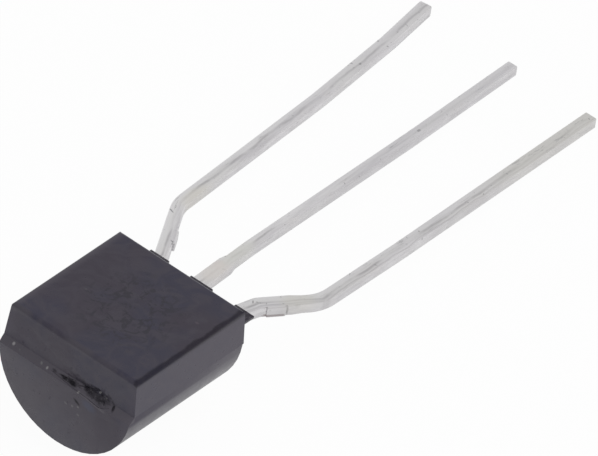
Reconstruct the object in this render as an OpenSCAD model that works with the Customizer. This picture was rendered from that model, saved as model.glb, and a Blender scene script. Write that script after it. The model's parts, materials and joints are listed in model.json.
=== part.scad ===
// TO-92 transistor lying as it comes to rest: flat face up, leads along +Y, on the back's edge and the tips
// Millimetres, +Z up. Inside each module the flat faces +Z and Z = 0 is the moulding's parting plane.

/* [Body] */
// Width across the round half
body_width = 4.68; // [4.4:0.02:4.8]
// Length of the flat face, from the plain end to the lead end
body_length = 4.54; // [4.4:0.02:4.8]
// Width of the flat face
flat_width = 4.48; // [4.3:0.02:4.5]
// Height of the flat face over the parting plane
flat_height = 1.14; // [1.1:0.01:1.3]
// Depth of the round half under the parting plane
back_depth = 2.3; // [2.2:0.01:2.3]
// How far each end face leans in towards the flat face
end_draft = 0.02; // [0.01:0.01:0.12]
// How far each end face leans in towards the bottom of the round half
back_draft = 0.05; // [0.02:0.01:0.12]
// How far the round half stands out past the flat half at the plain end
plain_end_step = 0.19; // [0.1:0.01:0.22]
// Height over which it slopes out to there
plain_step_height = 0.19; // [0.1:0.01:0.3]
// How far the round half stops short of the flat half at the lead end
lead_end_step = 0.04; // [0:0.01:0.1]
// Depth of the broken gate's hollow under the plain end
gate_depth = 0.03; // [0.02:0.01:0.06]
// Rounding along the flat face's sides
side_round = 0.1; // [0.05:0.01:0.15]
// Rounding along the flat face's two ends
end_round = 0.14; // [0.05:0.01:0.2]

/* [Lead exits] */
// Length of the moulded shelf that each lead leaves through
shelf_length = 0.91; // [0.6:0.01:1.1]
// Width of the shelf at an outer lead
outer_shelf_width = 0.66; // [0.6:0.02:0.8]
// Width of the shelf at the middle lead
middle_shelf_width = 0.78; // [0.7:0.02:0.9]
// Thickness of a shelf
shelf_thickness = 0.07; // [0.06:0.01:0.14]
// Plastic over the lead on a shelf
shelf_cover = 0.03; // [0.02:0.01:0.1]
// Plastic round the sides and underside of the lead under a shelf
collar_wall = 0.06; // [0.04:0.01:0.1]
// Length of the collar under a shelf
collar_length = 0.45; // [0.3:0.05:0.6]

/* [Leads] */
// Width of an outer lead along its free run
lead_width = 0.39; // [0.34:0.01:0.4]
// Width of the middle lead along its free run
middle_width = 0.34; // [0.3:0.01:0.4]
// Thickness of the lead frame
lead_thickness = 0.34; // [0.3:0.01:0.4]
// Distance between neighbouring leads where they leave the body
exit_pitch = 1.48; // [1.4:0.02:1.54]
// How far the middle lead sits to the left of the body's middle line
middle_offset = 0.05; // [0:0.01:0.08]
// Width of a lead where the tie bar was cut off
tie_width = 0.53; // [0.5:0.01:0.56]
// Start of the cut tie bar, from the body
tie_start = 1.5; // [1.3:0.05:1.6]
// Length of the cut tie bar along a lead
tie_length = 0.55; // [0.4:0.05:0.7]
// Width of the middle and right leads from the body to the cut tie bar
root_width = 0.46; // [0.42:0.01:0.48]
// Width of the left lead there
left_root_width = 0.4; // [0.39:0.01:0.46]
// Radius of the sharp bend at each shelf, to the lead's middle line
root_bend_radius = 0.3; // [0.25:0.05:0.4]
// Radius of the bend where an outer lead turns straight again, to its middle line
form_bend_radius = 1.2; // [0.8:0.1:1.4]
// Sideways distance of the left lead after its second bend
left_spread = 2.6; // [2.4:0.02:2.8]
// Distance of that bend from the body
left_bend_reach = 3.05; // [2.9:0.05:3.4]
// Sideways distance of the left lead at its first kink
left_kink_spread = 2.93; // [2.8:0.01:3]
// Distance of that kink from the body
left_kink_reach = 9.4; // [8.5:0.1:10]
// Sideways distance of the left lead at its last kink
left_last_spread = 3.23; // [3.1:0.01:3.3]
// Length of the left lead's last run, from its last kink to its tip
left_last_run = 2; // [1.6:0.1:2.8]
// Sideways distance of the left lead's tip
left_tip_spread = 3.5; // [3.3:0.02:3.6]
// Length of the left lead out of the body
left_reach = 14.8; // [14:0.05:15.2]
// Sideways distance of the right lead after its second bend
right_spread = 2.66; // [2.4:0.01:2.8]
// Distance of that bend from the body
right_bend_reach = 2.92; // [2.7:0.01:3.2]
// Sideways distance of the right lead's straight run
right_run_spread = 2.71; // [2.6:0.01:2.9]
// Length over which it drifts out to that run
right_drift_length = 3.3; // [2:0.1:5]
// Length of the right lead out of the body
right_reach = 14.55; // [13.5:0.05:15]
// Sideways drift of the middle lead at its tip
middle_drift = 0.2; // [0.05:0.01:0.3]
// Length of the middle lead out of the body
middle_reach = 14.62; // [13.5:0.02:15]

/* [Inside] */
// Width of the pad that carries the die
pad_width = 1.6; // [1.4:0.05:1.7]
// Length of the pad
pad_length = 2.0; // [1.6:0.05:2.2]
// Width of the post at the inner end of an outer lead
post_width = 0.7; // [0.6:0.02:0.76]
// Length of a post
post_length = 1.1; // [0.9:0.05:1.2]
// Side of the silicon die
die_side = 0.5; // [0.4:0.02:0.7]
// Thickness of the die
die_thickness = 0.2; // [0.15:0.01:0.3]
// Diameter of a bond wire
wire_diameter = 0.05; // [0.04:0.01:0.06]
// Rise of a bond wire's loop over the line between its ends
wire_rise = 0.35; // [0.25:0.05:0.5]

/* [Output] */
// Which sub-part to draw

/* [Hidden] */
$fa = 4;
$fs = 0.05;
back_radius = body_width / 2;
half_length = body_length / 2;
lead_end = half_length + end_draft;
back_end = lead_end - lead_end_step;
plain_end = lead_end + plain_end_step;
shelf_end = half_length + shelf_length;
lead_top = lead_thickness / 2;

// The frame's inner ends: a pad on the middle lead, a post on each outer lead
pad_start = -1.35;
pad_end = pad_start + pad_length;
post_start = -0.1;
die_y = pad_start + pad_length / 2;
die_face = lead_top + die_thickness;

// Paths of the leads in the parting plane, from inside the body to the tip
left_path = [
    [-exit_pitch, post_start + post_length / 2],
    [-exit_pitch, shelf_end + 0.09],
    [-left_spread, half_length + left_bend_reach],
    [-left_kink_spread, half_length + left_kink_reach],
    [-left_last_spread, half_length + left_reach - left_last_run],
    [-left_tip_spread, half_length + left_reach]
];
middle_path = [
    [-middle_offset, pad_end - 0.1],
    [-middle_offset, shelf_end + 0.04],
    [-0.65 * middle_drift, half_length + 3.2],
    [-0.65 * middle_drift, half_length + 10],
    [-middle_drift, half_length + middle_reach]
];
right_path = [
    [exit_pitch, post_start + post_length / 2],
    [exit_pitch, shelf_end + 0.02],
    [exit_pitch + 0.13, half_length + 1.45],
    [right_spread, half_length + right_bend_reach],
    [right_run_spread, half_length + right_bend_reach + right_drift_length],
    [right_run_spread - 0.02, half_length + right_reach]
];
left_radii = [0, root_bend_radius, form_bend_radius, 5, 5, 0];
middle_radii = [0, 3, 3, 3, 0];
right_radii = [0, root_bend_radius, root_bend_radius, form_bend_radius, 3, 0];

// How it rests: on the round half's edge at the lead end, and on the lead tips
rest_edge_y = back_end - back_draft;
tip_y = half_length + left_reach + lead_width / 2 * abs(leftward(left_path[4], left_path[5])[1]);
rest_tilt = atan((back_depth - lead_top) / (tip_y - rest_edge_y));
lift = rest_edge_y * sin(rest_tilt) + back_depth * cos(rest_tilt);
x_low = -left_tip_spread - lead_width / 2 * abs(leftward(left_path[4], left_path[5])[0]);
x_high = right_run_spread + lead_width / 2;
y_low = -(plain_end - back_draft) * cos(rest_tilt) - back_depth * sin(rest_tilt);
y_high = tip_y * cos(rest_tilt) + lead_top * sin(rest_tilt);

function heading(a, b) = atan2(b[1] - a[1], b[0] - a[0]);
function ahead(a, b) = (b - a) / norm(b - a);
function leftward(a, b) = [-ahead(a, b)[1], ahead(a, b)[0]];
function turn(p, i) = heading(p[i], p[i + 1]) - heading(p[i - 1], p[i]);
function trim(p, r, i) = r[i] * tan(abs(turn(p, i)) / 2);

// One side of a strip's outline: off is its distance to the left of the path
function bend_side(p, r, i, off) =
    let (
        side = sign(turn(p, i)),
        steps = ceil(abs(turn(p, i)) / 3),
        start = p[i] - ahead(p[i - 1], p[i]) * trim(p, r, i),
        centre = start + leftward(p[i - 1], p[i]) * side * r[i],
        first = heading(p[i - 1], p[i]) - side * 90,
        angle = turn(p, i) / steps
    )
    [for (k = [0:steps]) centre + (r[i] - side * off) * [cos(first + angle * k), sin(first + angle * k)]];
function path_side(p, r, off) =
    let (n = len(p))
    concat(
        [p[0] + leftward(p[0], p[1]) * off],
        [for (i = [1:n - 2]) each bend_side(p, r, i, off)],
        [p[n - 1] + leftward(p[n - 2], p[n - 1]) * off]
    );
function backwards(v) = [for (i = [len(v) - 1:-1:0]) v[i]];

// Part of a path: up to its point n, and then a little way on
function first_part(p, n, on) = [for (i = [0:n + 1]) i <= n ? p[i] : p[n] + ahead(p[n], p[n + 1]) * on];

// Points of a rounded corner at b, between a and c
function corner(a, b, c, r) =
    let (
        u = ahead(b, a),
        w = ahead(b, c),
        half = acos(u * w) / 2,
        centre = b + (u + w) / norm(u + w) * r / sin(half),
        from = heading(centre, b + u * r / tan(half)),
        swing = 180 - 2 * half,
        side = sign(u[0] * w[1] - u[1] * w[0])
    )
    [for (k = [0:5]) centre + r * [cos(from - side * swing * k / 5), sin(from - side * swing * k / 5)]];

// Moves what is modelled round the parting plane to where it rests
module rest() {
    translate([-(x_low + x_high) / 2, -(y_low + y_high) / 2, lift])
        rotate([-rest_tilt, 0, 0])
            children();
}

// Outline of a strip of width w along a path with rounded bends
module strip(p, r, w) {
    polygon(concat(path_side(p, r, w / 2), backwards(path_side(p, r, -w / 2))));
}

// Sheet of the lead frame's thickness, centred on the parting plane
module sheet() {
    translate([0, 0, -lead_top])
        linear_extrude(height = lead_thickness)
            children();
}

// What the cropping tool leaves of the tie bar on a lead that runs from a to b
module tie_end(a, b, from, long, left, right) {
    translate(a)
        rotate(heading(a, b))
            translate([from, -right])
                square([long, left + right]);
}

// Shoulder where a lead narrows behind its cut tie bar
module shoulder(a, b, from, long, wide, narrow) {
    translate(a)
        rotate(heading(a, b))
            polygon([
                [from - 0.1, -wide / 2],
                [from, -wide / 2],
                [from + long, -narrow / 2],
                [from + long, narrow / 2],
                [from, wide / 2],
                [from - 0.1, wide / 2]
            ]);
}

module post(x) {
    translate([x - post_width / 2, post_start])
        square([post_width, post_length]);
}

module left_metal() {
    sheet()
        strip(left_path, left_radii, lead_width);
    sheet()
        strip(first_part(left_path, 1, 1.6), [0, root_bend_radius, 0], left_root_width);
    sheet()
        shoulder(left_path[1], left_path[2], 1.6, 0.3, left_root_width, lead_width);
    sheet()
        tie_end(left_path[1], left_path[2], tie_start - shelf_length, tie_length, 0.19, tie_width / 2);
    sheet()
        post(-exit_pitch);
}

module right_metal() {
    sheet()
        strip(right_path, right_radii, lead_width);
    sheet()
        strip(first_part(right_path, 2, 0.95), [0, root_bend_radius, root_bend_radius, 0], root_width);
    sheet()
        shoulder(right_path[2], right_path[3], 0.95, 0.3, root_width, lead_width);
    sheet()
        tie_end(right_path[2], right_path[3], 0.2, tie_length, 0.19, tie_width / 2);
    sheet()
        post(exit_pitch);
}

module middle_metal() {
    sheet()
        strip(middle_path, middle_radii, middle_width);
    sheet()
        strip(first_part(middle_path, 1, 1.15), [0, 3, 0], root_width);
    sheet()
        shoulder(middle_path[1], middle_path[2], 1.15, 0.25, root_width, middle_width);
    sheet()
        translate([-pad_width / 2, pad_start])
            square([pad_width, pad_length]);
}

module die_shape() {
    translate([-die_side / 2, die_y - die_side / 2, -die_face])
        cube([die_side, die_side, die_thickness]);
}

// Loop from the die's face to a post's face; side is -1 for the left wire and 1 for the right one
module wire_shape(side) {
    from = [side * die_side / 4, die_y, -die_face];
    to = [side * (exit_pitch - post_width / 4), post_start + post_length / 3, -lead_top];
    flat = [to[0] - from[0], to[1] - from[1]];
    run = norm(flat);
    slope = atan2(to[2] - from[2], run);
    chord = norm(to - from);
    radius = (chord * chord / 4 + wire_rise * wire_rise) / (2 * wire_rise);
    half = asin(chord / 2 / radius);
    over = 3;
    difference() {
        translate(from)
            rotate([0, 0, atan2(flat[1], flat[0])])
                rotate([90, 0, 0])
                    rotate([0, 0, slope])
                        translate([chord / 2, radius - wire_rise, 0])
                            rotate([0, 0, 270 - half - over])
                                rotate_extrude(angle = 2 * half + 2 * over)
                                    translate([radius, 0])
                                        circle(d = wire_diameter, $fn = 16);
        translate([-die_side, die_y - die_side, -die_face])
            cube([2 * die_side, 2 * die_side, die_face]);
        sheet()
            post(side * exit_pitch);
    }
}

// Half of the moulding that carries the flat face
module flat_half() {
    intersection() {
        rotate([90, 0, 0])
            linear_extrude(height = 3 * body_length, center = true)
                polygon(concat(
                    [[-back_radius, 0], [back_radius, 0]],
                    corner([back_radius, 0], [flat_width / 2, flat_height], [0, flat_height], side_round),
                    corner([0, flat_height], [-flat_width / 2, flat_height], [-back_radius, 0], side_round)
                ));
        rotate([90, 0, 90])
            linear_extrude(height = 2 * body_width, center = true)
                polygon(concat(
                    [[-lead_end, 0], [lead_end, 0]],
                    corner([lead_end, 0], [half_length, flat_height], [0, flat_height], end_round),
                    corner([0, flat_height], [-half_length, flat_height], [-lead_end, 0], end_round)
                ));
    }
}

// Half of the moulding with the round back
module round_half() {
    intersection() {
        rotate([90, 0, 0])
            linear_extrude(height = 3 * body_length, center = true)
                intersection() {
                    translate([0, back_radius - back_depth])
                        circle(r = back_radius);
                    translate([-body_width, -body_width])
                        square([2 * body_width, body_width]);
                }
        rotate([90, 0, 90])
            linear_extrude(height = 2 * body_width, center = true)
                polygon([
                    [-lead_end, 0],
                    [back_end, 0],
                    [back_end - back_draft, -back_depth],
                    [back_end - back_draft, -back_radius - 1],
                    [back_draft - plain_end, -back_radius - 1],
                    [back_draft - plain_end, -back_depth],
                    [-plain_end, -plain_step_height]
                ]);
    }
}

// Shelf through which a lead leaves the body, a little to the lead's right, with a collar under it
module lead_exit(x, w, aside) {
    translate([x + aside - w / 2, 0, lead_top + shelf_cover - shelf_thickness])
        cube([w, shelf_end, shelf_thickness]);
    translate([x - root_width / 2 - collar_wall, 0, -lead_top - collar_wall])
        cube([root_width + 2 * collar_wall, half_length + collar_length, lead_thickness + collar_wall]);
}

// How far out the plain end's surface lies at a height z
function plain_out(z) = lead_end + plain_end_step * min(1, max(0, -z / plain_step_height));

// Rough hollow that the broken gate leaves on the plain end, on both sides of the parting plane
module gate_hollow() {
    intersection() {
        translate([0, -lead_end + 0.5, 0])
            rotate([90, 0, 0])
                linear_extrude(height = 2)
                    polygon([
                        [-0.55, -0.11],
                        [0.02, -0.05],
                        [0.36, 0.02],
                        [0.72, 0.03],
                        [1.02, 0.2],
                        [1.35, 0.11],
                        [1.55, -0.12],
                        [1.24, -0.26],
                        [0.8, -0.19],
                        [0.19, -0.17]
                    ]);
        rotate([90, 0, 90])
            linear_extrude(height = 2 * body_width, center = true)
                polygon([
                    [-plain_end - 1, 0.5],
                    [gate_depth - plain_out(0), 0.5],
                    [gate_depth - plain_out(0), 0],
                    [gate_depth - plain_end, -plain_step_height],
                    [gate_depth - plain_end, -0.6],
                    [-plain_end - 1, -0.6]
                ]);
    }
}

// Splinter left standing in the hollow
module gate_chip(x, z, long, high, spin) {
    translate([x, -plain_out(z), z])
        rotate([0, spin, 0])
            translate([-long / 2, -gate_depth * 0.3, -high / 2])
                cube([long, 0.05 + gate_depth * 1.3, high]);
}

module gate_chips() {
    gate_chip(0.08, -0.11, 0.4, 0.04, 4);
    gate_chip(0.55, -0.07, 0.26, 0.1, -20);
    gate_chip(0.86, -0.12, 0.2, 0.12, 25);
    gate_chip(1.06, 0.04, 0.16, 0.14, 50);
    gate_chip(1.27, -0.12, 0.14, 0.1, -10);
}

module body_form() {
    difference() {
        union() {
            flat_half();
            round_half();
        }
        gate_hollow();
    }
    gate_chips();
    lead_exit(-exit_pitch, outer_shelf_width, 0.03);
    lead_exit(-middle_offset, middle_shelf_width, 0.11);
    lead_exit(exit_pitch, outer_shelf_width, 0.12);
}

module body() {
    color([0.24, 0.23, 0.25])
        rest()
            difference() {
                body_form();
                left_metal();
                middle_metal();
                right_metal();
                die_shape();
                wire_shape(-1);
                wire_shape(1);
            }
}

module lead_left() {
    color([0.75, 0.75, 0.76])
        rest()
            left_metal();
}

module lead_middle() {
    color([0.75, 0.75, 0.76])
        rest()
            middle_metal();
}

module lead_right() {
    color([0.75, 0.75, 0.76])
        rest()
            right_metal();
}

module die() {
    color([0.4, 0.42, 0.48])
        rest()
            die_shape();
}

module wire_left() {
    color([0.85, 0.68, 0.3])
        rest()
            wire_shape(-1);
}

module wire_right() {
    color([0.85, 0.68, 0.3])
        rest()
            wire_shape(1);
}

body();
lead_left();
lead_middle();
lead_right();
die();
wire_left();
wire_right();
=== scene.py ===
# Looks of the TO-92 transistor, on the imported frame
import json
import math

import bpy
from mathutils import Matrix, Vector

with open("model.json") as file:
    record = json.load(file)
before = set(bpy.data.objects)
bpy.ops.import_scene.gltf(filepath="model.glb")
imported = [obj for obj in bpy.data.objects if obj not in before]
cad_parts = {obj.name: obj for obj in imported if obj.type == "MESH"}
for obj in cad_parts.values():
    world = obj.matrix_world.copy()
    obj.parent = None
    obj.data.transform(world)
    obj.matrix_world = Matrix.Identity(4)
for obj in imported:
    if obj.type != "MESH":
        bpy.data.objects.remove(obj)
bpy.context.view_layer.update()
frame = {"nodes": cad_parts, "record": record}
nodes = frame["nodes"]
MM = 0.001

# The body's own axes, from the middle of the parting plane: x across, y to the leads, z out of the flat
FLAT_HEIGHT = 1.14
HALF_WIDTH = 2.24
HALF_LENGTH = 2.27
flat = next(m for m in frame["record"]["mounts"] if m["name"] == "flat")
TILT = math.atan2(flat["axis"][1], flat["axis"][2])
ORIGIN = Vector(flat["pos_m"]) - Vector(flat["axis"]) * FLAT_HEIGHT * MM
LIE = Matrix.Rotation(-TILT, 3, "X")

# Edge roundings in millimetres: smaller on the moulding, larger on the worn leads
BODY_ROUND = 0.03
LEAD_ROUNDS = (("lead_left", 0.085), ("lead_middle", 0.045), ("lead_right", 0.08))
WELD_GAP = 0.0005

# Light: share of white that the floor and the sky give to each kind of ray
FLOOR_SIZE = 0.6
FLOOR_SHADE = 0.86
FLOOR_TO_CAMERA = 0.96
FLOOR_TO_GLOSS = 0.54
SKY_LEVEL = 0.62
SKY_TO_GLOSS = 0.42
KEY_PLACE = (0.10, 0.05, 0.17)
KEY_SIZE = (0.2, 0.2)
KEY_POWER = 0.20

# Middle lines of the leads as sideways places at distances y, in the same axes
LEFT_LEAD = ((3.27, -1.48), (5.32, -2.6), (11.67, -2.93), (15.07, -3.23), (17.07, -3.5))
MIDDLE_LEAD = ((3.22, -0.05), (5.47, -0.13), (12.27, -0.13), (16.89, -0.2))
RIGHT_LEAD = ((3.2, 1.48), (3.72, 1.61), (5.19, 2.66), (8.49, 2.71), (16.82, 2.69))


# Node graph helper
class Graph:
    def __init__(self, name):
        self.mat = bpy.data.materials.new(name)
        self.mat.use_nodes = True
        self.tree = self.mat.node_tree
        self.tree.nodes.clear()
        self.out = self.add("ShaderNodeOutputMaterial")
        self.shader = self.add("ShaderNodeBsdfPrincipled")
        self.link(self.shader.outputs[0], self.out.inputs[0])

    def add(self, kind, **props):
        n = self.tree.nodes.new(kind)
        for k, v in props.items():
            setattr(n, k, v)
        return n

    def link(self, a, b):
        self.tree.links.new(a, b)

    def put(self, socket, value):
        if isinstance(value, bpy.types.NodeSocket):
            self.link(value, socket)
        else:
            socket.default_value = value

    def body_mm(self, stretch=(1, 1, 1), spin=0.0, shift=(0, 0, 0)):
        """Position in the body's own axes, in millimetres."""
        tex = self.add("ShaderNodeTexCoord")
        turn = Matrix.Rotation(TILT, 3, "X")
        at = turn @ ORIGIN / MM
        m = self.add("ShaderNodeMapping")
        m.inputs["Location"].default_value = -at
        m.inputs["Rotation"].default_value = (TILT, 0, 0)
        m.inputs["Scale"].default_value = (1 / MM,) * 3
        self.link(tex.outputs["Object"], m.inputs["Vector"])
        if spin == 0 and stretch == (1, 1, 1) and shift == (0, 0, 0):
            return m.outputs[0]
        s = self.add("ShaderNodeMapping", vector_type="TEXTURE")
        s.inputs["Location"].default_value = shift
        s.inputs["Rotation"].default_value = (0, 0, spin)
        s.inputs["Scale"].default_value = tuple(1 / k for k in stretch)
        self.link(m.outputs[0], s.inputs["Vector"])
        return s.outputs[0]

    def scaled(self, where, by):
        n = self.add("ShaderNodeVectorMath", operation="MULTIPLY")
        n.inputs[1].default_value = by
        self.link(where, n.inputs[0])
        return n.outputs[0]

    def join(self, x, y, z):
        n = self.add("ShaderNodeCombineXYZ")
        for i, v in enumerate((x, y, z)):
            self.put(n.inputs[i], v)
        return n.outputs[0]

    def follow(self, y, line):
        """Value of a line through points (y, value)."""
        total = line[0][1]
        for (y0, v0), (y1, v1) in zip(line, line[1:]):
            n = self.add("ShaderNodeMapRange")
            for k, v in (("From Min", y0), ("From Max", y1), ("To Min", 0.0), ("To Max", v1 - v0)):
                n.inputs[k].default_value = v
            self.link(y, n.inputs["Value"])
            total = self.math("ADD", n.outputs[0], total)
        return total

    def noise(self, where, scale, detail=3.0, rough=0.5, warp=0.0):
        n = self.add("ShaderNodeTexNoise")
        self.link(where, n.inputs["Vector"])
        for k, v in (("Scale", scale), ("Detail", detail), ("Roughness", rough), ("Distortion", warp)):
            n.inputs[k].default_value = v
        return n.outputs["Fac"]

    def math(self, op, a, b=0.0, c=0.0):
        n = self.add("ShaderNodeMath", operation=op)
        for i, v in enumerate((a, b, c)):
            self.put(n.inputs[i], v)
        return n.outputs[0]

    def band(self, value, lo, hi, low=0.0, high=1.0):
        """Smooth step from low to high as value goes from lo to hi."""
        n = self.add("ShaderNodeMapRange", interpolation_type="SMOOTHSTEP")
        for i, v in enumerate((value, lo, hi, low, high)):
            self.put(n.inputs[i], v)
        return n.outputs[0]

    def mix(self, fac, a, b):
        n = self.add("ShaderNodeMix", data_type="RGBA")
        self.put(n.inputs["Factor"], fac)
        for s, v in ((n.inputs[6], a), (n.inputs[7], b)):
            self.put(s, v if isinstance(v, bpy.types.NodeSocket) else (*v, 1.0))
        return n.outputs[2]

    def axes(self, where):
        n = self.add("ShaderNodeSeparateXYZ")
        self.link(where, n.inputs[0])
        return n.outputs

    def blob(self, at, centre, size, soft=0.5, spin=0.0, turned="Y"):
        """1 inside an ellipsoid, falling to 0 over its outer part."""
        n = self.add("ShaderNodeMapping", vector_type="TEXTURE")
        n.inputs["Location"].default_value = centre
        n.inputs["Rotation"].default_value = (0, spin, 0) if turned == "Y" else (0, 0, spin)
        n.inputs["Scale"].default_value = size
        self.link(at, n.inputs["Vector"])
        d = self.add("ShaderNodeVectorMath", operation="LENGTH")
        self.link(n.outputs[0], d.inputs[0])
        return self.band(d.outputs["Value"], 1.0, 1.0 - soft)

    def bump(self, height, strength, depth):
        n = self.add("ShaderNodeBump")
        n.inputs["Strength"].default_value = strength
        n.inputs["Distance"].default_value = depth
        self.link(height, n.inputs["Height"])
        return n.outputs[0]


# Filled epoxy, moulded: fine grain, faint smears, the rough gate and small marks
def moulding():
    g = Graph("moulding")
    at = g.body_mm()
    x, y, z = g.axes(at)
    tint = g.band(g.noise(at, 0.55, 2.0), 0.4, 0.6)
    colour = g.mix(tint, (0.031, 0.0248, 0.0375), (0.0245, 0.0235, 0.043))
    smear = g.noise(g.body_mm(stretch=(0.8, 1.3, 1.0), spin=0.5), 1.3, 4.0, 0.55, 1.6)
    colour = g.mix(g.band(smear, 0.37, 0.66, 0.0, 0.75), colour, (0.0425, 0.0375, 0.051))
    grain = g.noise(at, 15.0, 3.0, 0.6)
    colour = g.mix(g.band(grain, 0.58, 0.78, 0.0, 0.3), colour, (0.052, 0.049, 0.058))

    # Low marks of handling on the flat face
    on_flat = g.band(z, FLAT_HEIGHT - 0.08, FLAT_HEIGHT - 0.02)
    worn = g.noise(g.body_mm(shift=(3.1, 1.7, 0.0)), 2.0, 5.0, 0.62, 2.4)
    middle = g.blob(at, (0.1, -0.1, FLAT_HEIGHT), (2.0, 2.1, 1.0), 0.6)
    rubbed = g.math("MULTIPLY", g.band(worn, 0.5, 0.6), g.math("MULTIPLY", middle, 0.85))
    rubbed = g.math("MULTIPLY", rubbed, on_flat)
    colour = g.mix(rubbed, colour, (0.014, 0.013, 0.02))
    for centre, size, tone in (
        ((-1.26, -0.33, FLAT_HEIGHT), (0.05, 0.04, 0.5), (0.07, 0.066, 0.075)),
        ((1.69, 0.88, FLAT_HEIGHT), (0.08, 0.05, 0.5), (0.075, 0.06, 0.072)),
    ):
        colour = g.mix(g.math("MULTIPLY", g.blob(at, centre, size, 0.6), 0.7), colour, tone)

    # Painted light: the plain end is a little lighter low down and to the left
    on_end = g.band(y, -2.1, -2.2)
    lower_end_light = g.band(g.math("ADD", g.math("MULTIPLY", x, 0.45), z), 0.6, -1.1)
    lower_end_light = g.math("MULTIPLY", g.math("MULTIPLY", lower_end_light, on_end), 0.2)
    colour = g.mix(lower_end_light, colour, (0.058, 0.05, 0.072))
    # Painted light: the side walls below the flat face are lighter, more so towards the lead end
    lit_walls = g.math("MULTIPLY", g.band(g.math("ABSOLUTE", x), 1.9, 2.2), g.band(z, 1.05, 0.9))
    lit_walls = g.math("MULTIPLY", lit_walls, g.band(y, -2.0, 2.0, 0.5, 0.85))
    colour = g.mix(lit_walls, colour, (0.055, 0.048, 0.067))

    # Painted highlight on the sloped ledge of the plain end; rough plastic on the shelves of the lead end
    ledge = g.math("MULTIPLY", g.band(z, -0.21, -0.17), g.band(z, 0.01, -0.02))
    ledge = g.math("MULTIPLY", ledge, g.band(y, -HALF_LENGTH + 0.04, -HALF_LENGTH - 0.02))
    colour = g.mix(g.math("MULTIPLY", ledge, 0.85), colour, (0.082, 0.075, 0.09))
    shelf = g.band(y, HALF_LENGTH + 0.01, HALF_LENGTH + 0.04)
    broken = g.band(g.noise(at, 9.0, 4.0, 0.7), 0.42, 0.66)
    # The shelves' rough plastic is painted lighter to lift the shade in the notch beside each lead
    rough = g.mix(broken, (0.036, 0.033, 0.041), (0.105, 0.099, 0.112))
    colour = g.mix(g.math("MULTIPLY", shelf, 0.75), colour, rough)

    # Painted highlight along the flat face's left edge
    light = g.math("MULTIPLY", g.band(x, 0.3 - HALF_WIDTH, 0.02 - HALF_WIDTH), g.band(z, 0.8, 1.0))
    colour = g.mix(g.math("MULTIPLY", light, 0.75), colour, (0.08, 0.073, 0.088))

    # Painted shade: a dark line along the flat face's right edge; paler stretches along its plain end
    wander = g.math("MULTIPLY", g.math("SUBTRACT", g.noise(at, 2.2, 4.0), 0.5), 0.2)
    dark = g.band(g.math("ADD", x, wander), HALF_WIDTH - 0.17, HALF_WIDTH - 0.07, 0.0, 0.6)
    dark = g.math("MULTIPLY", dark, g.band(z, FLAT_HEIGHT - 0.2, FLAT_HEIGHT - 0.08))
    colour = g.mix(g.math("MULTIPLY", dark, 0.85), colour, (0.006, 0.005, 0.008))
    rim = g.math("MULTIPLY", g.band(y, 0.16 - HALF_LENGTH, 0.06 - HALF_LENGTH), g.band(z, 0.9, 1.05))
    rim_patches = g.math("MAXIMUM", g.blob(at, (-2.2, -2.2, 1.1), (0.8, 0.5, 0.5), 0.4),
                      g.blob(at, (0.2, -2.2, 1.1), (0.75, 0.5, 0.5), 0.7))
    rim_patches = g.math("MAXIMUM", rim_patches, g.band(g.noise(at, 3.0, 3.0), 0.45, 0.65, 0.0, 0.5))
    rim = g.math("MULTIPLY", g.math("MULTIPLY", rim, rim_patches), 0.9)
    colour = g.mix(rim, colour, (0.056, 0.051, 0.063))

    # Broken gate on the plain end: a dark streak that widens into a rough, dotted patch; its darkest parts
    # are the broken plastic, and the dark hook at their right end is a painted shadow in the hollow of the
    # break
    ragged = g.math("SUBTRACT", g.noise(at, 6.0, 5.0, 0.7), 0.5)
    scar = g.blob(at, (1.05, -2.35, 0.02), (0.78, 1.0, 0.27), 0.8)
    scar = g.math("MAXIMUM", scar, g.blob(at, (0.15, -2.35, -0.08), (0.55, 1.0, 0.09), 0.7))
    torn = g.math("ADD", scar, g.math("MULTIPLY", ragged, 2.4))
    scar = g.math("MULTIPLY", g.band(torn, 0.25, 0.9), on_end)
    colour = g.mix(g.math("MULTIPLY", scar, 0.45), colour, (0.016, 0.015, 0.019))
    core_and_shadow = 0.0
    for centre, size, spin, strength in (
        ((-0.44, -2.36, -0.075), (0.13, 1.0, 0.04), 0.1, 0.6),
        ((-0.1, -2.35, -0.085), (0.27, 1.0, 0.045), 0.0, 0.9),
        ((0.22, -2.35, -0.1), (0.22, 1.0, 0.07), 0.15, 0.85),
        ((0.5, -2.3, 0.09), (0.12, 1.0, 0.11), 0.0, 0.7),
        ((0.72, -2.35, 0.0), (0.26, 1.0, 0.15), 0.2, 0.5),
        ((0.95, -2.3, 0.15), (0.3, 1.0, 0.06), 0.0, 0.4),
        ((1.2, -2.4, -0.1), (0.34, 1.0, 0.13), 0.1, 0.5),
        ((1.43, -2.3, 0.16), (0.15, 1.0, 0.05), 0.59, 0.7),
        ((1.57, -2.3, 0.04), (0.14, 1.0, 0.06), 0.86, 1.0),
        ((1.655, -2.36, -0.07), (0.06, 1.0, 0.13), -0.4, 1.0),
        ((0.5, -2.47, -0.525), (0.2, 1.0, 0.065), 0.5, 1.0),
    ):
        core_and_shadow = g.math("MAXIMUM", core_and_shadow, g.math("MULTIPLY", g.blob(at, centre, size, 0.7, spin), strength))
    core_and_shadow = g.math("MULTIPLY", g.math("MULTIPLY", core_and_shadow, g.band(ragged, -0.16, 0.04, 0.45, 1.0)), on_end)
    colour = g.mix(g.math("MULTIPLY", core_and_shadow, 0.9), colour, (0.006, 0.006, 0.008))
    grit = g.noise(at, 13.0, 2.0, 0.5)
    pale = g.math("MULTIPLY", g.band(grit, 0.58, 0.66), scar)
    colour = g.mix(g.math("MULTIPLY", pale, 0.6), colour, (0.1, 0.095, 0.108))
    pits = g.math("MULTIPLY", g.band(grit, 0.42, 0.34), scar)
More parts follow.
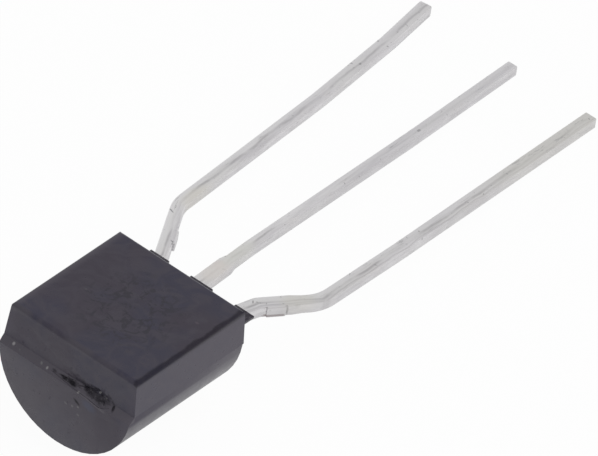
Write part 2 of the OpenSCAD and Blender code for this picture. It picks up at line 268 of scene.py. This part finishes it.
    # Painted light: a paler line along the ledge's lower edge under the break, lifting the shade there
    lit_line = g.math("ADD", g.math("ADD", z, 0.06), g.math("MULTIPLY", x, 0.16))
    lit_line = g.math("MULTIPLY", g.band(g.math("ABSOLUTE", lit_line), 0.05, 0.03), g.band(y, -2.41, -2.43))
    lit_line = g.math("MULTIPLY", lit_line, g.math("MULTIPLY", g.band(x, 0.45, 0.55), g.band(x, 1.5, 1.4)))
    colour = g.mix(g.math("MULTIPLY", lit_line, 0.5), colour, (0.11, 0.103, 0.118))

    # Specks and a smudge beside it; the bright specks along the ledge's edge are painted highlights on
    # small chips
    for centre, size, tone, spin in (
        ((-1.92, -2.35, -0.073), (0.06, 0.5, 0.05), (0.3, 0.29, 0.3), 0.0),
        ((-1.67, -2.35, -0.11), (0.05, 0.5, 0.03), (0.1, 0.096, 0.105), 0.3),
        ((-0.9, -2.4, -0.094), (0.06, 0.5, 0.04), (0.15, 0.148, 0.155), 0.4),
        ((-0.68, -2.4, -0.111), (0.045, 0.5, 0.045), (0.28, 0.275, 0.28), 0.0),
        ((0.5, -2.46, -0.19), (0.045, 0.5, 0.04), (0.2, 0.195, 0.2), 0.0),
        ((1.1, -2.26, 0.097), (0.05, 0.5, 0.045), (0.2, 0.195, 0.2), 0.0),
        ((1.32, -2.26, 0.017), (0.04, 0.5, 0.04), (0.15, 0.145, 0.15), 0.0),
        ((0.14, -2.46, -0.796), (0.08, 0.5, 0.05), (0.095, 0.092, 0.1), 0.4),
        ((0.37, -2.46, -0.76), (0.06, 0.5, 0.06), (0.1, 0.096, 0.105), 0.0),
        ((0.6, -2.46, -0.937), (0.07, 0.5, 0.05), (0.095, 0.092, 0.1), 0.2),
        ((0.565, -2.46, -0.675), (0.05, 0.5, 0.045), (0.14, 0.135, 0.14), 0.0),
        ((0.92, -2.46, -0.42), (0.34, 0.5, 0.2), (0.038, 0.042, 0.072), 0.2),
    ):
        colour = g.mix(g.math("MULTIPLY", g.blob(at, centre, size, 0.7, spin), on_end), colour, tone)
    g.put(g.shader.inputs["Base Color"], colour)

    dull = g.band(g.noise(at, 3.0, 4.0, 0.6), 0.3, 0.7, 0.27, 0.33)
    g.put(g.shader.inputs["Roughness"], g.math("ADD", dull, g.math("MULTIPLY", scar, 0.5)))
    sunk = g.math("MAXIMUM", g.math("MULTIPLY", core_and_shadow, 0.9), g.math("MULTIPLY", pits, 0.6))
    sunk = g.math("MAXIMUM", g.math("MAXIMUM", dark, sunk), g.math("MULTIPLY", scar, 0.2))
    sunk = g.math("MAXIMUM", sunk, g.math("MULTIPLY", shelf, 0.6))
    g.put(g.shader.inputs["Specular IOR Level"], g.band(sunk, 0.0, 1.0, 0.5, 0.1))
    g.shader.inputs["IOR"].default_value = 1.53
    g.shader.inputs["Specular Tint"].default_value = (0.93, 0.885, 1.0, 1.0)
    fine = g.bump(grain, 0.15, 0.01 * MM)
    height = g.math("MULTIPLY", g.noise(at, 9.0, 5.0, 0.7), scar)
    deep = g.add("ShaderNodeBump")
    deep.inputs["Strength"].default_value = 0.6
    deep.inputs["Distance"].default_value = 0.05 * MM
    g.link(height, deep.inputs["Height"])
    g.link(fine, deep.inputs["Normal"])
    g.put(g.shader.inputs["Normal"], deep.outputs[0])
    return g.mat


# Tinned sheet: drawn streaks along the lead, dull patches, bare metal where it was cut
def tinned():
    g = Graph("tinned_lead")
    at = g.body_mm()
    x, y, z = g.axes(at)

    # Sideways place on the lead, measured from its middle line
    left, middle, right = (g.follow(y, line) for line in (LEFT_LEAD, MIDDLE_LEAD, RIGHT_LEAD))
    is_left = g.math("LESS_THAN", x, -0.85)
    is_right = g.math("GREATER_THAN", x, 0.85)
    line = g.math("ADD", g.math("MULTIPLY", left, is_left), g.math("MULTIPLY", right, is_right))
    neither = g.math("SUBTRACT", 1.0, g.math("ADD", is_left, is_right))
    line = g.math("ADD", line, g.math("MULTIPLY", middle, neither))
    across = g.math("SUBTRACT", x, line)
    lane = g.math("ADD", g.math("MULTIPLY", is_right, 9.0), g.math("MULTIPLY", is_left, -7.0))
    along = g.join(g.math("ADD", across, lane), y, z)

    streak = g.noise(g.scaled(along, (9.0, 0.5, 9.0)), 1.0, 5.0, 0.6, 0.25)
    colour = g.mix(g.band(streak, 0.32, 0.62), (0.79, 0.772, 0.795), (0.99, 0.975, 0.99))
    broad = g.noise(g.scaled(along, (2.6, 0.35, 2.6)), 1.0, 2.0, 0.5, 0.3)
    colour = g.mix(g.band(broad, 0.42, 0.66, 0.0, 0.45), colour, (0.93, 0.925, 0.9))
    patch = g.noise(at, 1.1, 3.0, 0.55, 0.4)
    colour = g.mix(g.band(patch, 0.5, 0.72, 0.0, 0.4), colour, (0.95, 0.92, 0.91))
    # Painted highlight along the left half of each lead
    colour = g.mix(g.band(across, 0.02, -0.15, 0.0, 0.7), colour, (1.0, 0.99, 1.0))
    # Painted reflection: dark bands along the middle of each lead, and a second one on the right lead
    sway = g.math("SUBTRACT", g.noise(g.scaled(along, (0.01, 0.9, 0.01)), 1.0, 2.0), 0.5)
    off = g.math("SUBTRACT", across, g.math("ADD", g.math("MULTIPLY", sway, 0.2), 0.03))
    band_strength = g.band(g.noise(g.scaled(along, (0.5, 0.8, 0.5)), 1.0, 3.0), 0.38, 0.58, 0.15, 0.8)
    plain = g.math("MULTIPLY", neither, g.band(y, 5.5, 8.0, 0.0, 0.75))
    band_strength = g.math("MULTIPLY", band_strength, g.math("SUBTRACT", 1.0, plain))
    reflection_band = g.math("MULTIPLY", g.band(g.math("ABSOLUTE", off), 0.07, 0.0), band_strength)
    colour = g.mix(reflection_band, colour, (0.57, 0.555, 0.57))
    second_reflection_band = g.band(g.math("ABSOLUTE", g.math("SUBTRACT", off, 0.11)), 0.035, 0.0, 0.0, 0.4)
    second_reflection_band = g.math("MULTIPLY", second_reflection_band, is_right)
    colour = g.mix(second_reflection_band, colour, (0.56, 0.545, 0.55))
    far = g.math("ADD", g.math("MULTIPLY", neither, 0.42), g.math("MULTIPLY", is_left, 0.25))
    far = g.math("MULTIPLY", g.band(y, 7.0, 12.0), far)
    colour = g.mix(far, colour, (0.8, 0.785, 0.815))
    olive = g.math("MULTIPLY", g.band(y, 11.0, 14.0, 0.0, 0.6), is_right)
    colour = g.mix(olive, colour, (0.86, 0.845, 0.79))
    dirt = g.noise(g.scaled(along, (6.0, 1.3, 6.0)), 1.3, 6.0, 0.7, 0.6)
    colour = g.mix(g.band(dirt, 0.58, 0.72, 0.0, 0.6), colour, (0.42, 0.42, 0.43))
    speck = g.noise(at, 7.0, 2.0, 0.5)
    colour = g.mix(g.band(speck, 0.68, 0.76, 0.0, 0.65), colour, (0.35, 0.35, 0.36))

    # Cut tie bar on the right lead: brownish line low on the cut face and a dark patch just past its far
    # end
    cut = g.math("MULTIPLY", g.band(across, 0.2, 0.24), is_right)
    cut = g.math("MULTIPLY", cut, g.math("MULTIPLY", g.band(y, 3.66, 3.72), g.band(y, 4.17, 4.12)))
    low = g.math("MULTIPLY", g.band(z, -0.155, -0.125), g.band(z, -0.055, -0.08))
    colour = g.mix(g.math("MULTIPLY", cut, 0.3), colour, (0.9, 0.87, 0.87))
    colour = g.mix(g.math("MULTIPLY", g.math("MULTIPLY", cut, low), 0.95), colour, (0.2, 0.115, 0.11))
    for centre, size, tone, spin, strength in (
        ((2.252, 4.224, 0.02), (0.12, 0.05, 0.2), (0.05, 0.045, 0.05), -0.62, 1.0),
        ((-2.5, 4.88, 0.17), (0.15, 0.03, 0.1), (0.25, 0.25, 0.27), -0.35, 0.7),
        ((-0.27, 4.53, 0.17), (0.06, 0.04, 0.1), (0.15, 0.14, 0.15), 0.5, 0.8),
        ((-0.15, 4.12, 0.17), (0.2, 0.3, 0.1), (0.86, 0.78, 0.76), 0.0, 0.6),
        ((-0.05, 3.85, 0.1), (0.4, 0.75, 0.5), (0.96, 0.915, 0.88), 0.0, 0.8),
        ((-0.1, 4.9, 0.1), (0.4, 0.9, 0.5), (0.91, 0.905, 0.86), 0.0, 0.7),
        ((-2.45, 5.9, 0.0), (0.4, 0.9, 0.4), (0.92, 0.89, 0.81), 0.0, 0.6),
        ((2.3, 4.6, 0.1), (0.6, 0.7, 0.4), (0.92, 0.9, 0.83), 0.0, 0.5),
        ((1.9, 3.62, -0.12), (0.1, 0.07, 0.06), (0.2, 0.18, 0.18), -0.9, 0.8),
        ((1.5, 3.64, 0.17), (0.09, 0.03, 0.1), (0.3, 0.29, 0.3), -0.9, 0.7),
        ((-0.11, 12.66, 0.17), (0.06, 0.09, 0.1), (0.38, 0.37, 0.39), 0.0, 0.65),
        ((-3.05, 13.62, 0.17), (0.05, 0.06, 0.1), (0.34, 0.33, 0.35), 0.0, 0.6),
        ((-3.24, 13.45, 0.17), (0.08, 0.04, 0.1), (0.4, 0.39, 0.41), 0.3, 0.6),
        ((1.58, 3.72, 0.17), (0.03, 0.06, 0.1), (0.38, 0.37, 0.38), -0.9, 0.6),
    ):
        colour = g.mix(g.math("MULTIPLY", g.blob(at, centre, size, 0.6, spin, "Z"), strength), colour, tone)

    # Sheared side faces are duller, and the cut ends are bare metal
    face = g.add("ShaderNodeNewGeometry")
    faces = []
    for way in ((0, 0, 1), (0, 1, 0)):
        n = g.add("ShaderNodeVectorMath", operation="DOT_PRODUCT")
        n.inputs[1].default_value = LIE @ Vector(way)
        g.link(face.outputs["Normal"], n.inputs[0])
        faces.append(n.outputs["Value"])
    duller = g.math("ADD", g.math("MULTIPLY", neither, 0.06), g.math("MULTIPLY", is_left, -0.04))
    duller = g.math("ADD", 0.46, duller)
    mottle = g.math("SUBTRACT", g.noise(g.scaled(along, (5.0, 1.8, 5.0)), 1.0, 4.0, 0.65, 0.5), 0.5)
    duller = g.math("ADD", duller, g.math("MULTIPLY", mottle, 0.75))
    side = g.band(g.math("ABSOLUTE", faces[0]), 0.75, 0.25)
    colour = g.mix(g.math("MULTIPLY", side, duller), colour, (0.55, 0.54, 0.552))
    colour = g.mix(g.math("MULTIPLY", is_right, 0.1), colour, (0.5, 0.49, 0.5))
    tip = g.math("MULTIPLY", g.band(faces[1], 0.8, 0.95), g.band(y, 12.0, 13.0))
    colour = g.mix(g.math("MULTIPLY", tip, 0.8), colour, (0.55, 0.38, 0.28))
    g.put(g.shader.inputs["Base Color"], colour)
    g.shader.inputs["Metallic"].default_value = 1.0
    g.put(g.shader.inputs["Roughness"], g.band(patch, 0.3, 0.7, 0.34, 0.44))
    g.put(g.shader.inputs["Normal"], g.bump(streak, 0.3, 0.012 * MM))
    return g.mat


def silicon():
    g = Graph("silicon")
    at = g.body_mm()
    cells = g.noise(at, 12.0, 2.0)
    colour = g.mix(g.band(cells, 0.4, 0.6), (0.16, 0.17, 0.21), (0.22, 0.22, 0.25))
    g.put(g.shader.inputs["Base Color"], colour)
    g.shader.inputs["Metallic"].default_value = 0.4
    g.shader.inputs["Roughness"].default_value = 0.18
    return g.mat


def gold():
    g = Graph("bond_wire")
    at = g.body_mm(stretch=(1, 1, 6))
    g.put(g.shader.inputs["Base Color"], g.mix(g.noise(at, 9.0), (0.78, 0.52, 0.2), (0.9, 0.66, 0.3)))
    g.shader.inputs["Metallic"].default_value = 1.0
    g.shader.inputs["Roughness"].default_value = 0.25
    return g.mat


# Small real roundings on the CAD solids, on edges sharper than 30 degrees
def rounding(name, width, segments):
    o = nodes[name]
    weld = o.modifiers.new("weld", "WELD")
    weld.merge_threshold = WELD_GAP * MM
    b = o.modifiers.new("rounding", "BEVEL")
    b.width = width * MM
    b.segments = segments
    b.limit_method = "ANGLE"
    b.angle_limit = math.radians(30)
    for p in o.data.polygons:
        p.use_smooth = True
    n = o.modifiers.new("normals", "WEIGHTED_NORMAL")
    n.keep_sharp = True
    n.weight = 80


def dress():
    looks = {"moulding": moulding(), "tinned_lead": tinned(), "silicon": silicon(), "bond_wire": gold()}
    for sub in frame["record"]["subparts"]:
        o = nodes[sub["node"]]
        o.data.materials.clear()
        o.data.materials.append(looks[sub["material_slot"]])
    rounding("body", BODY_ROUND, 2)
    for name, width in LEAD_ROUNDS:
        rounding(name, width, 4)


# Floor: pale to the light and nearly white to the camera, so that only a faint shadow shows
def floor():
    mesh = bpy.data.meshes.new("floor")
    corners = [(x * FLOOR_SIZE, y * FLOOR_SIZE, 0) for x, y in ((-1, -1), (1, -1), (1, 1), (-1, 1))]
    mesh.from_pydata(corners, [], [(0, 1, 2, 3)])
    o = bpy.data.objects.new("floor", mesh)
    bpy.context.scene.collection.objects.link(o)
    g = Graph("floor")
    g.tree.nodes.remove(g.shader)
    pale = g.add("ShaderNodeBsdfDiffuse")
    pale.inputs[0].default_value = (FLOOR_SHADE, FLOOR_SHADE, FLOOR_SHADE, 1)
    white = g.add("ShaderNodeEmission")
    white.inputs[0].default_value = (1, 1, 1, 1)
    white.inputs[1].default_value = 1.0
    rays = g.add("ShaderNodeLightPath")
    seen = g.math("MAXIMUM", rays.outputs["Is Camera Ray"], rays.outputs["Is Transmission Ray"])
    seen = g.math("MULTIPLY", seen, FLOOR_TO_CAMERA)
    seen = g.math("MAXIMUM", seen, g.math("MULTIPLY", rays.outputs["Is Glossy Ray"], FLOOR_TO_GLOSS))
    both = g.add("ShaderNodeMixShader")
    g.link(seen, both.inputs[0])
    g.link(pale.outputs[0], both.inputs[1])
    g.link(white.outputs[0], both.inputs[2])
    g.link(both.outputs[0], g.out.inputs[0])
    mesh.materials.append(g.mat)


def sky():
    world = bpy.data.worlds.new("studio")
    bpy.context.scene.world = world
    world.use_nodes = True
    t = world.node_tree
    t.nodes.clear()
    out = t.nodes.new("ShaderNodeOutputWorld")
    back = t.nodes.new("ShaderNodeBackground")
    rays = t.nodes.new("ShaderNodeLightPath")
    shiny = t.nodes.new("ShaderNodeMath")
    shiny.operation = "MULTIPLY"
    shiny.inputs[1].default_value = SKY_TO_GLOSS
    high = t.nodes.new("ShaderNodeMath")
    high.operation = "MAXIMUM"
    most = t.nodes.new("ShaderNodeMath")
    most.operation = "MAXIMUM"
    level = t.nodes.new("ShaderNodeMapRange")
    level.inputs["To Min"].default_value = SKY_LEVEL
    level.inputs["To Max"].default_value = 1.0
    t.links.new(rays.outputs["Is Glossy Ray"], shiny.inputs[0])
    t.links.new(rays.outputs["Is Camera Ray"], high.inputs[0])
    t.links.new(shiny.outputs[0], high.inputs[1])
    t.links.new(high.outputs[0], most.inputs[0])
    t.links.new(rays.outputs["Is Transmission Ray"], most.inputs[1])
    t.links.new(most.outputs[0], level.inputs["Value"])
    t.links.new(level.outputs[0], back.inputs[1])
    t.links.new(back.outputs[0], out.inputs[0])


def lamp(name, place, aim, size, power):
    """Soft box that lights but isn't seen, in person or in a reflection."""
    data = bpy.data.lights.new(name, "AREA")
    data.shape = "RECTANGLE"
    data.size, data.size_y = size
    data.energy = power
    o = bpy.data.objects.new(name, data)
    bpy.context.scene.collection.objects.link(o)
    o.location = place
    o.rotation_mode = "QUATERNION"
    o.rotation_quaternion = (Vector(aim) - Vector(place)).to_track_quat("-Z", "Y")
    o.visible_camera = False
    o.visible_glossy = False


# Camera at the photograph's angle, fitted to the outlines: angles in degrees, aim in millimetres in the
# body's axes, distance in metres, lens in millimetres on a 36 mm sensor
AZIMUTH, ELEVATION, ROLL = 34.2484, 39.96, 9.2201
AIM = Vector((0.1885, 7.1896, -0.0549))
DISTANCE = 0.4609
LENS = 1013.62


def camera():
    a, e, r = (math.radians(v) for v in (AZIMUTH, ELEVATION, ROLL))
    back = Vector((math.sin(a) * math.cos(e), -math.cos(a) * math.cos(e), math.sin(e)))
    right = Vector((math.cos(a), math.sin(a), 0))
    up = back.cross(right)
    across = right * math.cos(r) + up * math.sin(r)
    upright = up * math.cos(r) - right * math.sin(r)
    data = bpy.data.cameras.new("camera")
    data.sensor_fit = "HORIZONTAL"
    data.sensor_width = 36
    data.lens = LENS
    data.clip_start, data.clip_end = 0.01, 10
    o = bpy.data.objects.new("camera", data)
    bpy.context.scene.collection.objects.link(o)
    basis = LIE @ Matrix((across, upright, back)).transposed()
    o.matrix_world = Matrix.Translation(ORIGIN + LIE @ (AIM * MM + back * DISTANCE)) @ basis.to_4x4()
    bpy.context.scene.camera = o


bpy.context.scene.view_settings.view_transform = "Standard"
dress()
floor()
sky()
lamp("key", KEY_PLACE, (0, 0, 0), KEY_SIZE, KEY_POWER)
camera()
